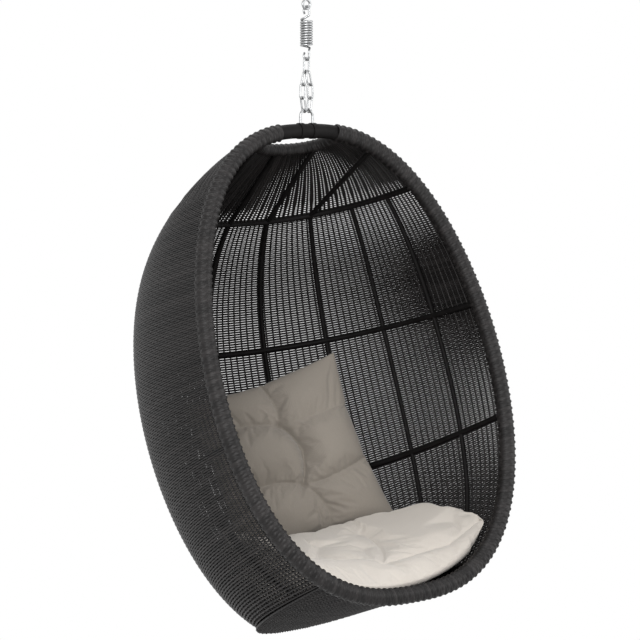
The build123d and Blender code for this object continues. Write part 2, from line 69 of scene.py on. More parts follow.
# shared shape of the pod, in metres: a leaning egg hoop with level curves behind it
pod = dict(lean=math.radians(20.5), height=1.230, halfWidth=0.460, squareness=0.77, lowBulge=0.043,
           fullness=2.4, bowShares=(0.1301, 0.4, 0.6504, 0.9512), bowDepth=(0.415, 0.638, 0.640, 0.520),
           bowSlope=(-5.2, -5.0, 3.0, 5.0), topDown=0.011, topDepth=0.130, topSlope=-2.0,
           tubeRadius=0.019, bareHalf=0.092)
pod["top"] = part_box("front_hoop")[1].z - pod["tubeRadius"]
pod["bowDown"] = tuple(pod["height"] * share for share in pod["bowShares"])
samples = dict(level=400, profile=600, hoop=6000, topBow=600, foldLine=24, slopeStep=0.001)
weldDistance = 1e-5


def podPoints(x, n, s):  # x right, n back from the hoop's plane, s down along it
    c, d = math.cos(pod["lean"]), math.sin(pod["lean"])
    x, n, s = np.broadcast_arrays(np.asarray(x, float), np.asarray(n, float), np.asarray(s, float))
    return np.stack([x, n * c - s * d, pod["top"] - s * c - n * d], axis=-1)


def podCoords(points):  # the other way from podPoints
    c, d = math.cos(pod["lean"]), math.sin(pod["lean"])
    y, z = points[:, 1], points[:, 2] - pod["top"]
    return points[:, 0], y * c - z * d, -(y * d + z * c)


def hoopHalf(s):
    turn = np.arccos(np.clip(1 - 2 * np.asarray(s, float) / pod["height"], -1, 1))
    return pod["halfWidth"] * np.sin(turn) ** pod["squareness"] * np.exp(-pod["lowBulge"] * np.cos(turn))


def throughBows(values, s):
    total = 0.0
    for i, value in enumerate(values):
        for j, other in enumerate(pod["bowDown"]):
            if j != i:
                value = value * (s - other) / (pod["bowDown"][i] - other)
        total = total + value
    return total


def wallShape(s):
    return hoopHalf(s), throughBows(pod["bowDepth"], s), throughBows(pod["bowSlope"], s)


def capShape(s):
    share = (s - pod["topDown"]) / (pod["bowDown"][0] - pod["topDown"])
    depth = pod["topDepth"] + share * (pod["bowDepth"][0] - pod["topDepth"])
    topDrop = pod["topDepth"] * math.sin(math.radians(pod["topSlope"]))
    drop = topDrop + share * (pod["bowDepth"][0] * math.sin(math.radians(pod["bowSlope"][0])) - topDrop)
    return hoopHalf(s), depth, math.degrees(math.asin(drop / depth))


def outside(shapeAt, s, out):  # the level curve moved out square to the wall
    step = samples["slopeStep"]
    width, depth, slope = shapeAt(s)
    ahead, behind = shapeAt(s + step), shapeAt(s - step)
    across, back = (ahead[0] - behind[0]) / (2 * step), (ahead[1] - behind[1]) / (2 * step)
    return width + out * math.hypot(1, across), depth + out * math.hypot(1, back), slope


def levelPoints(shape, s, turns):
    width, depth, slope = shape
    power = 2 / pod["fullness"]
    c, q = np.cos(turns), np.clip(np.sin(turns), 0, 1)
    back = depth * q ** power
    slope = math.radians(slope)
    x = width * np.sign(c) * np.abs(c) ** power
    return podPoints(x, back * math.cos(slope), s + back * math.sin(slope))


def turnAtBack(shape, back):
    return math.acos(math.sqrt(max(0.0, 1 - (back / shape[1]) ** pod["fullness"])))


def runLength(points):  # length from the start to each point
    return np.concatenate([[0], np.cumsum(np.linalg.norm(np.diff(points, axis=0), axis=1))])


def evenTurns(shape, s, start, shares):  # turns at even steps of length along a level curve
    turns = np.linspace(start, math.pi - start, samples["level"])
    run = runLength(levelPoints(shape, s, turns))
    return np.interp(np.asarray(shares) * run[-1], run, turns)


# meshes and objects
def linked(name, data):
    thing = bpy.data.objects.new(name, data)
    bpy.context.scene.collection.objects.link(thing)
    return thing


def newPiece(name, bm):
    mesh = bpy.data.meshes.new(name)
    bm.to_mesh(mesh)
    bm.free()
    mesh.shade_smooth()
    return linked(name, mesh)


def finishedMesh(holder, name):  # what the holder evaluates to; the holder itself goes
    bpy.context.view_layer.update()
    mesh = bpy.data.meshes.new_from_object(holder.evaluated_get(bpy.context.evaluated_depsgraph_get()))
    bpy.data.objects.remove(holder)
    mesh.name = name
    mesh.shade_smooth()
    return mesh


def meshPoints(mesh):
    co = np.empty(len(mesh.vertices) * 3)
    mesh.vertices.foreach_get("co", co)
    return co.reshape(-1, 3)


def meshNormals(mesh):
    normals = np.empty(len(mesh.vertices) * 3)
    mesh.vertex_normals.foreach_get("vector", normals)
    return normals.reshape(-1, 3)


def strands(name, paths, radius, resolution=1, widths=None, caps=True):  # each path becomes one round strand
    curve = bpy.data.curves.new(name, "CURVE")
    curve.dimensions = "3D"
    curve.bevel_depth = radius
    curve.bevel_resolution = resolution
    curve.use_fill_caps = caps
    for i, path in enumerate(paths):
        spline = curve.splines.new("POLY")
        spline.points.add(len(path) - 1)
        spline.points.foreach_set("co", np.c_[np.asarray(path), np.ones(len(path))].ravel())
        if widths is not None:
            spline.points.foreach_set("radius", np.broadcast_to(widths[i], len(path)).astype(np.float32))
    mesh = finishedMesh(linked(name + "Path", curve), name)
    sides = 4 + 2 * resolution
    counts = np.array([len(path) for path in paths])
    tone = mesh.attributes.new("tone", "FLOAT", "POINT")
    spread = np.repeat(rng.rand(len(counts)), counts * sides)
    tone.data.foreach_set("value", np.resize(spread, len(mesh.vertices)).astype(np.float32))
    return linked(name, mesh)


def dress(piece, finish, body, slotName, *replaced):
    piece.data.materials.clear()
    piece.data.materials.append(finish)
    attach(piece, body)
    if replaced:
        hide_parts(*replaced)
    return piece


# materials: one class for a socket with arithmetic, one for a finish and its nodes
class Wire:
    def __init__(self, finish, socket):
        self.finish, self.socket = finish, socket

    def math(self, operation, other):
        return self.finish.add("ShaderNodeMath", {"operation": operation}, {0: self, 1: other})

    def __add__(self, other):
        return self.math("ADD", other)

    def __mul__(self, other):
        return self.math("MULTIPLY", other)

    __radd__ = __add__
    __rmul__ = __mul__


class Finish:
    def __init__(self, name, **shader):
        self.material = bpy.data.materials.new(name)
        self.material.use_nodes = True
        self.tree = self.material.node_tree
        self.shader = self.tree.nodes["Principled BSDF"]
        for key, value in shader.items():
            self.shader.inputs[key.replace("_", " ")].default_value = value

    def add(self, kind, settings=None, sockets=None, out=0):
        node = self.tree.nodes.new(kind)
        for key, value in (settings or {}).items():
            if key == "stops":
                while len(node.color_ramp.elements) < len(value):
                    node.color_ramp.elements.new(0.5)
                for stop, (place, colour) in zip(node.color_ramp.elements, value):
                    stop.position, stop.color = place, (*colour, 1)
            else:
                setattr(node, key, value)
        for key, value in (sockets or {}).items():
            if isinstance(value, Wire):
                self.tree.links.new(value.socket, node.inputs[key])
            else:
                node.inputs[key].default_value = value
        return Wire(self, node.outputs[out])

    def feed(self, socket, wire):
        self.tree.links.new(wire.socket, self.shader.inputs[socket])

    def place(self, scale=(1, 1, 1), turn=(0, 0, 0)):
        coords = self.add("ShaderNodeTexCoord", out=3)
        return self.add("ShaderNodeMapping", None, {"Vector": coords, "Scale": scale, "Rotation": turn})

    def noise(self, grain, detail=3.0, **mapping):
        return self.add("ShaderNodeTexNoise", None,
                        {"Vector": self.place(**mapping), "Scale": grain, "Detail": detail})

    def wave(self, grain, **mapping):
        sockets = {"Vector": self.place(**mapping), "Scale": grain, "Distortion": 0.6, "Detail": 1.0}
        return self.add("ShaderNodeTexWave", {"wave_profile": "SIN"}, sockets, out=1)

    def attribute(self, name):
        return self.add("ShaderNodeAttribute", {"attribute_name": name}, out=2)

    def ramp(self, factor, stops):
        return self.add("ShaderNodeValToRGB", {"stops": stops}, {"Fac": factor})

    def bump(self, height, strength, distance):
        sockets = {"Height": height, "Strength": strength, "Distance": distance}
        return self.add("ShaderNodeBump", None, sockets)


wickerLook = dict(shine=0.24, roughness=0.38, dark=(0.0068, 0.0061, 0.0061), middle=(0.0130, 0.0117, 0.0116),
                  pale=(0.0255, 0.0230, 0.0227))
coatLook = dict(shine=0.1, roughness=0.48, dark=(0.0046, 0.0041, 0.0041), pale=(0.0082, 0.0074, 0.0074))
zincLook = dict(roughness=0.16, dark=(0.30, 0.305, 0.31), pale=(0.46, 0.465, 0.47))
seatLook = dict(pale=(0.625, 0.580, 0.528), dark=(0.545, 0.503, 0.452), turn=(0.35, 0.0, 0.0))
pillowLook = dict(pale=(0.298, 0.267, 0.230), dark=(0.242, 0.216, 0.186), turn=(1.2, 0.3, -0.5))
threads = 190  # warp and weft threads, as the wave texture's scale


def wickerFinish(look):  # extruded resin strand: dark, satin, each strand a little different
    finish = Finish("wicker", Specular_IOR_Level=look["shine"])
    grain = finish.noise(260, 4)
    mottle = finish.noise(24, 2)
    shade = finish.attribute("tone") * 0.55 + grain * 0.25 + mottle * 0.2
    stops = [(0.18, look["dark"]), (0.55, look["middle"]), (0.9, look["pale"])]
    finish.feed("Base Color", finish.ramp(shade, stops))
    finish.feed("Roughness", grain * 0.25 + look["roughness"])
    finish.feed("Normal", finish.bump(finish.noise(900, 2), 0.25, 0.0004))
    return finish.material


def coatFinish(look):  # matt powder coat on the rods
    finish = Finish("powderCoat", Specular_IOR_Level=look["shine"])
    speck = finish.noise(1400, 2)
    finish.feed("Base Color", finish.ramp(finish.noise(30, 3), [(0.3, look["dark"]), (0.7, look["pale"])]))
    finish.feed("Roughness", speck * 0.2 + look["roughness"])
    finish.feed("Normal", finish.bump(speck, 0.2, 0.0003))
    return finish.material


def zincFinish(look):  # bright plated wire with a faint clouding
    finish = Finish("zincPlate", Metallic=1.0)
    cloud = finish.noise(55, 4)
    fine = finish.noise(600, 2)
    finish.feed("Base Color", finish.ramp(cloud, [(0.25, look["dark"]), (0.75, look["pale"])]))
    finish.feed("Roughness", cloud * 0.18 + fine * 0.12 + look["roughness"])
    finish.feed("Normal", finish.bump(fine, 0.12, 0.0002))
    return finish.material


def clothFinish(name, look):  # plain weave with slubs
    finish = Finish(name, Roughness=0.9, Specular_IOR_Level=0.18, Sheen_Weight=0.25, Sheen_Roughness=0.5)
    turn = look["turn"]
    warp = finish.wave(threads, turn=turn)
    weft = finish.wave(threads, turn=(turn[0], turn[1], turn[2] + math.radians(90)))
    slub = finish.noise(420, 3, scale=(1, 1, 0.25), turn=turn)
    soft = finish.noise(9, 3)
    shade = warp * 0.16 + weft * 0.16 + slub * 0.3 + soft * 0.38
    finish.feed("Base Color", finish.ramp(shade, [(0.25, look["dark"]), (0.72, look["pale"])]))
    finish.feed("Normal", finish.bump(warp * 0.35 + weft * 0.35 + slub * 0.3, 0.3, 0.0008))
    return finish.material


wicker, coat, zinc = wickerFinish(wickerLook), coatFinish(coatLook), zincFinish(zincLook)
seatCloth, pillowCloth = clothFinish("seatCloth", seatLook), clothFinish("pillowCloth", pillowLook)
print("finishes made")


# rigid CAD nodes keep their shape and get their finish
rodNodes = ["top_bow", "upper_bow", "middle_bow", "lower_bow", "base_bow", "base_bars", "front_hoop",
            "eye_bindings", "centre_rib"]
rodNodes += [f"{side}_rib_{i}" for side in ("left", "right") for i in (1, 2, 3, 4)]
wireNodes = ["swivel_body", "swivel_cap", "swivel_balls", "swivel_shank", "spring_upper_hook",
             "spring_lower_hook", "top_chain_link", "pod_eye"]
wireNodes += [f"{side}_chain_link_{i}" for side in ("left", "right") for i in (1, 2, 3)]
for names, finish in ((rodNodes, coat), (wireNodes, zinc)):
    for name in names:
        nodes[name].data.materials.clear()
        nodes[name].data.materials.append(finish)
print("rods and wires coated:", len(rodNodes) + len(wireNodes), "nodes")


# woven wall: strands go round level by level, over and under upright stakes
wall = dict(stakes=93, rowPitch=0.0067, out=0.0102, swing=0.0009, stakeOut=-0.0020, strandRadius=0.00304,
            stakeRadius=0.0025, stakeStep=4, startBack=0.010, start=0.163, end=1.168,
            topLoose=0.27, topReach=0.10, sideTight=0.15, tightAt=0.38, tightReach=0.14,
            sideLoose=0.28, looseAt=0.78, looseReach=0.22)
inner, outer, upright = 0, 1, 2  # the three lines of a woven row


def profileLevels(shapeAt, weave):  # levels an even step apart down the middle of the back
    s = np.linspace(weave["start"], weave["end"], samples["profile"])
    run = runLength(np.array([levelPoints(shapeAt(v), v, np.array([math.pi / 2]))[0] for v in s]))
    count = int(run[-1] / weave["rowPitch"]) + 1
    return np.interp(np.linspace(0, run[-1], count), run, s)


def weaveRows(shapeAt, levels, weave):  # at every level: a strand's inner and outer points, and the stakes'
    shares = np.linspace(0, 1, weave["stakes"])
    offsets = (-weave["swing"], weave["swing"], weave["stakeOut"])
    rows = []
    for s in levels:
        middle = outside(shapeAt, s, weave["out"])
        turns = evenTurns(middle, s, turnAtBack(middle, weave["startBack"]), shares)
        shapes = [outside(shapeAt, s, weave["out"] + offset) for offset in offsets]
        rows.append([levelPoints(shape, s, turns) for shape in shapes])
    return np.array(rows)


def wovenPaths(rows):  # over one stake, under the next, the other way in the next row
    places = np.arange(rows.shape[2])
    return [np.where(((places + i) % 2 == 0)[:, None], row[inner], row[outer]) for i, row in enumerate(rows)]


def stakeRows(rows, weave):  # the rows where a stake has a point
    return np.unique(np.r_[np.arange(0, len(rows), weave["stakeStep"]), len(rows) - 1])


def stakePaths(rows, weave):
    return [rows[stakeRows(rows, weave), upright, j] for j in range(weave["stakes"])]


def nearLevel(s, at, reach):  # 1 at a level, fading above and below it
    return math.exp(-((s - at) / reach) ** 2)


def wallWidths(s):  # a strand's width along one row: narrow strands let more light through
    side = np.abs(np.linspace(-1, 1, wall["stakes"]))
    return (1 - wall["topLoose"] * nearLevel(s, wall["start"], wall["topReach"])
            + wall["sideTight"] * side ** 2 * nearLevel(s, wall["tightAt"], wall["tightReach"])
            - wall["sideLoose"] * side ** 3 * nearLevel(s, wall["looseAt"], wall["looseReach"]))


wallLevels = profileLevels(wallShape, wall)
wallRows = weaveRows(wallShape, wallLevels, wall)
wallPaths = wovenPaths(wallRows)
widths = [wallWidths(s) for s in wallLevels]
half = len(wallPaths) // 2
dress(strands("wallStrandsUpper", wallPaths[:half], wall["strandRadius"], widths=widths[:half]),
      wicker, "pod", "wicker", "woven_wall")
dress(strands("wallStrandsLower", wallPaths[half:], wall["strandRadius"], widths=widths[half:]),
      wicker, "pod", "wicker")
dress(strands("wallStakes", stakePaths(wallRows, wall), wall["stakeRadius"]), wicker, "pod", "wicker")
print("wall woven:", len(wallPaths), "rows")


# woven cap: stakes fan out from the top bow; every second one is a broad strip that narrows at a line
cap = dict(stakes=93, rowPitch=0.0092, out=0.0098, swing=0.0008, stakeOut=-0.0012, strandRadius=0.0020,
           stakeRadius=0.0029, stakeStep=3, startBack=0.010, start=0.0135, end=0.159,
           narrowAt=0.74, broad=0.50, narrow=0.33)


def stripWidths(rows):  # a share of the space between stakes, as widths along one strip
    places = stakeRows(rows, cap)
    gaps = np.linalg.norm(rows[:, upright, 1:] - rows[:, upright, :-1], axis=2).mean(axis=1)[places]
    share = np.where(places < cap["narrowAt"] * len(rows), cap["broad"], cap["narrow"])
    return np.maximum(1, share * (gaps / cap["stakeRadius"]))


capRows = weaveRows(capShape, profileLevels(capShape, cap), cap)
dress(strands("capStrands", wovenPaths(capRows), cap["strandRadius"]), wicker, "pod", "wicker", "woven_cap")
strip = stripWidths(capRows)
widths = [strip if j % 2 else 1 for j in range(cap["stakes"])]
dress(strands("capStakes", stakePaths(capRows, cap), cap["stakeRadius"], widths=widths),
      wicker, "pod", "wicker")
print("cap woven:", len(capRows), "rows")


# woven base: strands run across, stakes from front to back
base = dict(stakes=29, rowPitch=0.0072, swing=0.0016, strandRadius=0.0028, stakeRadius=0.0028, stakeStep=4,
            start=0.016, rearGap=0.004, endShare=0.005, drop=0.0025, bowRadius=0.008, gap=0.0008, edge=0.0123)


def baseRow(back, shares, lift):  # one crosswise line of the trough
    s0 = pod["bowDown"][-1]
    rodWidth, rodDepth, slope = wallShape(s0)
    width, depth, slope = outside(wallShape, s0, base["edge"])
    f = pod["fullness"]
    halfSpan = width * (1 - (back / depth) ** f) ** (1 / f)
    rodHalf = rodWidth * max(0.0, 1 - (back / rodDepth) ** f) ** (1 / f)
    sag = (pod["height"] - s0) * (1 - back / depth)
    steep = 2 * sag * rodHalf / halfSpan ** 2
    under = base["bowRadius"] * math.hypot(1, steep) + base["gap"] - sag * (1 - (rodHalf / halfSpan) ** 2)
    x = halfSpan * (2 * shares - 1)
    level = s0 + back * math.sin(math.radians(slope)) + under + base["drop"]
    return podPoints(x, back * math.cos(math.radians(slope)), level + sag * (1 - (x / halfSpan) ** 2) + lift)


baseDepth = outside(wallShape, pod["bowDown"][-1], base["edge"])[1]
backs = np.arange(base["start"], baseDepth - base["rearGap"], base["rowPitch"])
shares = np.linspace(base["endShare"], 1 - base["endShare"], base["stakes"])
lifts = (-base["swing"], base["swing"], 0)
baseRows = np.array([[baseRow(back, shares, lift) for lift in lifts] for back in backs])
dress(strands("baseStrands", wovenPaths(baseRows), base["strandRadius"]),
      wicker, "pod", "wicker", "woven_base")
dress(strands("baseStakes", stakePaths(baseRows, base), base["stakeRadius"]), wicker, "pod", "wicker")
print("base woven:", len(backs), "rows")


# wound sleeves: a tube whose skin is pressed into flat turns, over and under in columns
rim = dict(ring=0.0020, sides=36, radius=0.0209, strandPitch=0.0092, bulge=0.0016, raised=0.0024, starts=2,
           columns=6)
topWrap = dict(ring=0.0020, sides=24, radius=0.0154, strandPitch=0.0080, bulge=0.0016, raised=0.0014,
               starts=2, columns=4, startBack=0.006)


def evenLine(points, step):
    run = runLength(points)
    places = np.linspace(0, run[-1], int(run[-1] / step) + 1)
    return np.stack([np.interp(places, run, points[:, k]) for k in range(3)], axis=1), places


def unit(vectors):
    return vectors / np.linalg.norm(vectors, axis=1)[:, None]


def woundSleeve(name, line, wrap, side):
    centres, places = evenLine(line, wrap["ring"])
    piece = strands(name, [centres], wrap["radius"], wrap["sides"] // 2 - 2, caps=False)
    points = meshPoints(piece.data)
    ring = np.arange(len(points)) // wrap["sides"]
    along = unit(np.gradient(centres, axis=0))
    flat = unit(np.cross(along, side))
    spoke = unit(points - centres[ring])
    angle = np.arctan2((spoke * np.cross(flat, along)[ring]).sum(1), (spoke * flat[ring]).sum(1))
    phase = places[ring] / wrap["strandPitch"] + wrap["starts"] * angle / (2 * math.pi)
    turn = np.floor(phase)
    hump = 1 - np.abs(2 * (phase - turn) - 1) ** 3
    sector = angle * wrap["columns"] / (2 * math.pi)
    column = np.floor(sector)
    across = 1 - np.abs(2 * (sector - column) - 1) ** 4
    rise = hump * (wrap["bulge"] + wrap["raised"] * across * ((turn + column) % 2))
    points = centres[ring] + spoke * (wrap["radius"] - wrap["bulge"] + rise)[:, None]
    piece.data.vertices.foreach_set("co", points.ravel())
    tones = rng.rand(int(phase.max()) + 8)  # one for each turn, and a few to spare
    tone = tones[(turn - turn.min()).astype(int)]
    piece.data.attributes["tone"].data.foreach_set("value", tone.astype(np.float32))
    piece.data.update()
    return piece


hoopTurns = np.linspace(0, 2 * math.pi, samples["hoop"] + 1)
hoopDown = pod["height"] / 2 * (1 - np.cos(hoopTurns))
hoopLine = podPoints(hoopHalf(hoopDown) * np.sign(np.sin(hoopTurns)), 0, hoopDown)
hoopRun = runLength(hoopLine)
wrapped = (hoopRun >= pod["bareHalf"]) & (hoopRun <= hoopRun[-1] - pod["bareHalf"])
podBack = podPoints(0, 1, 0) - podPoints(0, 0, 0)
dress(woundSleeve("rimWrap", hoopLine[wrapped], rim, podBack), wicker, "pod", "wicker", "hoop_wrap")

topShape = capShape(pod["topDown"])
topStart = turnAtBack(topShape, topWrap["startBack"])
topLine = levelPoints(topShape, pod["topDown"], np.linspace(topStart, math.pi - topStart, samples["topBow"]))
topSide = np.cross(topLine[samples["topBow"] // 2] - topLine[0], topLine[-1] - topLine[0])
topSide = topSide / np.linalg.norm(topSide)
dress(woundSleeve("topBowWrap", topLine, topWrap, topSide), wicker, "pod", "wicker", "top_bow_wrap")
print("rim and top bow wound")


# spring coil: stretches between the two hooks
coil = dict(radius=0.0142, wire=0.0028, turns=10, pitch=0.0065, perTurn=32, resolution=4)
coilLength = coil["turns"] * coil["pitch"]
coilTop = (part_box("suspension_spring")[1].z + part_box("suspension_spring")[0].z + coilLength) / 2
turns = np.linspace(0, coil["turns"], coil["turns"] * coil["perTurn"] + 1)
helix = np.stack([coil["radius"] * np.sin(2 * math.pi * turns), coil["radius"] * np.cos(2 * math.pi * turns),
                  coilTop - coil["pitch"] * turns], axis=1)
springCoil = strands("springCoil", [helix], coil["wire"], coil["resolution"])
springCoil.data.materials.append(zinc)
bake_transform(springCoil)
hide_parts("suspension_spring")
print("spring wound")


# padded pieces: folds are pressed into a shape, and a cloth simulation held along the sewing fills it
filling = dict(quality=6, mass=0.25, tension=14, shear=6, steps=20)
pressing = dict(crease=0.62, valley=0.38, farAway=9.0)


def foldLine(knots):  # a smooth line through three points
    a, b, c = (np.array(k) for k in knots)
    t = np.linspace(0, 1, samples["foldLine"])[:, None]
    m = 2 * b - (a + c) / 2
    return (1 - t) ** 2 * a + 2 * t * (1 - t) * m + t ** 2 * c


def distanceTo(points, line):
    best = np.full(len(points), pressing["farAway"])
    for a, b in zip(line, line[1:]):
        d = b - a
        t = np.clip(((points - a) @ d) / (d @ d), 0, 1)
        best = np.minimum(best, np.linalg.norm(points - a - t[:, None] * d, axis=1))
    return best


def pressedFolds(points, pad):  # how deep the folds and tufts press, and how near each point is to one
    dip, near = np.zeros(len(points)), np.full(len(points), pressing["farAway"])
    for knots, depth in zip(pad["folds"], pad["foldDepth"]):
        d = distanceTo(points, foldLine(knots))
        crease = pressing["crease"] * np.exp(-d / pad["foldWidth"])
        dip = np.maximum(dip, depth * (crease + pressing["valley"] * np.exp(-(d / pad["valley"]) ** 2)))
        near = np.minimum(near, d)
    for spot in pad["tufts"]:
        d = np.linalg.norm(points - np.array(spot), axis=1)
        dip = np.maximum(dip, pad["tuftDepth"] * np.exp(-d / pad["tuftWidth"]))
        near = np.minimum(near, d - pad["button"])
    return dip, near


def plump(piece, held, pad):  # pressure fills the slack cover, and no point moves past the cap
    mesh = piece.data
    before = meshPoints(mesh)
    group = piece.vertex_groups.new(name="sewn")
    group.add([int(i) for i in np.flatnonzero(held)], 1.0, "REPLACE")
    fill = piece.modifiers.new("fill", "CLOTH")
    cloth = fill.settings
    cloth.quality = filling["quality"]
    cloth.mass = filling["mass"]
    cloth.tension_stiffness = cloth.compression_stiffness = filling["tension"]
    cloth.shear_stiffness = filling["shear"]
    cloth.bending_stiffness = pad["stiffness"]
    cloth.use_pressure = True
    cloth.uniform_pressure_force = pad["pressure"]
    cloth.vertex_group_mass = "sewn"
    cloth.shrink_min = -pad["slack"]
    cloth.effector_weights.gravity = 0
    fill.collision_settings.use_collision = False
    fill.point_cache.frame_start, fill.point_cache.frame_end = 1, filling["steps"]
    for step in range(1, filling["steps"] + 1):
        bpy.context.scene.frame_set(step)
    filled = piece.evaluated_get(bpy.context.evaluated_depsgraph_get())
    move = meshPoints(filled.data) - before
    reach = np.linalg.norm(move, axis=1)
    move *= np.minimum(1, pad["cap"] / np.maximum(reach, 1e-9))[:, None]
    piece.modifiers.remove(fill)
    piece.vertex_groups.remove(group)
    mesh.vertices.foreach_set("co", (before + move).ravel())
    mesh.update()
    bpy.context.scene.frame_set(1)
    print(piece.name, "filled; moved up to", round(float(reach.max()) * 1000, 1), "mm before the cap")


def softened(piece):
    finer = piece.modifiers.new("finer", "SUBSURF")
    finer.levels = finer.render_levels = 1


# back cushion: a square pillow with pointed corners, two tufts and the folds that they draw
pillow = dict(corner=(-0.079, 0.9205, 0.192), turn=-30, recline=18, roll=18, halfWidth=0.225,
              halfHeight=0.238, front=0.054, rear=0.056, drawnIn=0.020, fullness=2.6, cells=100,
              tufts=[(0.003, 0.092), (0.011, -0.082)], tuftDepth=0.046, tuftWidth=0.022, button=0.006,
              folds=[[(0.003, 0.092), (0.012, 0.150), (-0.006, 0.228)],
                     [(0.003, 0.092), (-0.100, 0.122), (-0.205, 0.118)],
                     [(0.003, 0.092), (0.090, 0.086), (0.200, 0.092)],
                     [(0.003, 0.092), (0.040, 0.010), (0.011, -0.082)],
                     [(0.011, -0.082), (0.100, -0.086), (0.212, -0.064)],
                     [(0.011, -0.082), (-0.092, -0.052), (-0.205, -0.075)],
                     [(0.011, -0.082), (0.048, -0.150), (0.044, -0.225)],
                     [(0.030, -0.125), (0.026, -0.175), (0.022, -0.225)]],
              foldDepth=[0.026, 0.026, 0.010, 0.040, 0.026, 0.028, 0.024, 0.014], foldWidth=0.009,
              valley=0.038, pressure=5.0, slack=0.05, stiffness=0.4, cap=0.014,
              edgeShare=0.995, rearFrom=-0.03, sewnWithin=0.0025, sewnDepth=0.008, sewnFrom=-0.012)


def pillowAxes():
    turn, recline, roll = (math.radians(pillow[k]) for k in ("turn", "recline", "roll"))
    facing = Vector((math.sin(turn), -math.cos(turn), 0))
    normal = facing * math.cos(recline) + Vector((0, 0, math.sin(recline)))
    level = Vector((math.cos(turn), math.sin(turn), 0))
    climb = normal.cross(level)
    across = level * math.cos(roll) + climb * math.sin(roll)
    rise = normal.cross(across)
    side, backShare, up = pillow["corner"]
    corner = Vector(podPoints(side, backShare * pod["bowDepth"][2], pod["height"] - up))
    middle = corner + across * pillow["halfWidth"] + rise * pillow["halfHeight"]
    return Matrix.Translation(middle) @ Matrix((across, rise, normal)).transposed().to_4x4()


def closedPad(name, cells, shapeFront, shapeRear):  # two grids, sewn together along their edges
    bm = bmesh.new()
    bmesh.ops.create_grid(bm, x_segments=cells, y_segments=cells, size=1.0)
    front = list(bm.verts)
    turned = bmesh.ops.duplicate(bm, geom=bm.verts[:] + bm.edges[:] + bm.faces[:])
    rear = [g for g in turned["geom"] if isinstance(g, bmesh.types.BMVert)]
    bmesh.ops.reverse_faces(bm, faces=[g for g in turned["geom"] if isinstance(g, bmesh.types.BMFace)])
    for group, shape in ((front, shapeFront), (rear, shapeRear)):
        for v, p in zip(group, shape(np.array([v.co[:2] for v in group]))):
            v.co = p
    bmesh.ops.remove_doubles(bm, verts=bm.verts[:], dist=weldDistance)
    bmesh.ops.recalc_face_normals(bm, faces=bm.faces[:])
    return newPiece(name, bm)


def pillowFlat(uv):
    u, v = uv[:, 0], uv[:, 1]
    x = u * (pillow["halfWidth"] - pillow["drawnIn"] * (1 - v ** 2))
    y = v * (pillow["halfHeight"] - pillow["drawnIn"] * (1 - u ** 2))
    swell = ((1 - np.abs(u) ** pillow["fullness"]) * (1 - np.abs(v) ** pillow["fullness"])).clip(0) ** 0.5
    return x, y, swell


def pillowFront(uv):
    x, y, swell = pillowFlat(uv)
    dip, near = pressedFolds(np.stack([x, y], axis=1), pillow)
    return np.stack([x, y, pillow["front"] * swell - dip * swell ** 0.5], axis=1)


def pillowRear(uv):
    x, y, swell = pillowFlat(uv)
    return np.stack([x, y, -pillow["rear"] * swell], axis=1)


def pillowSewn(points):  # the seam, the rear and the bottoms of the folds stay where they are
    x, y, z = points.T
    dip, near = pressedFolds(points[:, :2], pillow)
    reach = np.maximum(np.abs(x) / pillow["halfWidth"], np.abs(y) / pillow["halfHeight"])
    folded = (near < pillow["sewnWithin"]) & (dip > pillow["sewnDepth"]) & (z > pillow["sewnFrom"])
    return (reach > pillow["edgeShare"]) | (z < pillow["rearFrom"]) | folded


backCushion = closedPad("backCushion", pillow["cells"], pillowFront, pillowRear)
plump(backCushion, pillowSewn(meshPoints(backCushion.data)), pillow)
backCushion.data.transform(pillowAxes())
dress(backCushion, pillowCloth, "back_pillow", "pillow_cloth", "back_cushion")
softened(backCushion)
print("back cushion sewn")


# seat cushion: fills the foot of the pod, its ends riding up the walls; x and distance back place its folds
seat = dict(voxel=0.0048, smooth=14, shrink=0.004, halfWidth=0.335,
            plain=[(0.0, 0.1525), (-0.170, 0.2625), (0.170, 0.2625)], plainRadius=0.070, plainRing=0.105,
            plainFade=0.012, facingUp=0.15, levelFrom=0.6,
            outward=0.022, outwardTo=1.11, outwardFade=0.06, forward=0.078, endFront=0.118, frontShare=1.25,
            frontFade=0.16, lower=0.018, lowerFrom=0.13, lowerFade=0.12, endsLift=1.4, mostShare=1.05,
            rounding=38, roundFrom=0.8, topGain=2.5, topStart=0.6,
            tufts=[(0.047, 0.140)], tuftDepth=0.018, tuftWidth=0.015, button=0.004,
            folds=[[(0.150, 0.340), (0.132, 0.250), (0.047, 0.140)],
                   [(-0.200, 0.214), (-0.060, 0.207), (0.020, 0.188)],
                   [(0.047, 0.140), (0.150, 0.130), (0.235, 0.088)],
                   [(0.235, 0.088), (0.290, 0.078), (0.345, 0.066)],
                   [(0.300, 0.132), (0.274, 0.090), (0.232, 0.084)],
                   [(0.336, 0.112), (0.318, 0.078), (0.240, 0.082)],
                   [(0.085, 0.250), (0.058, 0.215), (0.040, 0.178)],
                   [(-0.010, 0.315), (-0.055, 0.270), (-0.078, 0.228)]],
            foldDepth=[0.013, 0.006, 0.016, 0.013, 0.009, 0.008, 0.006, 0.005], foldWidth=0.0042,
            valley=0.024, pressure=4.0, slack=0.012, stiffness=0.8, cap=0.010,
            underTo=0.05, sewnWithin=0.003, sewnFrom=0.3)
podUp = podPoints(0, 0, 0) - podPoints(0, 0, 1)


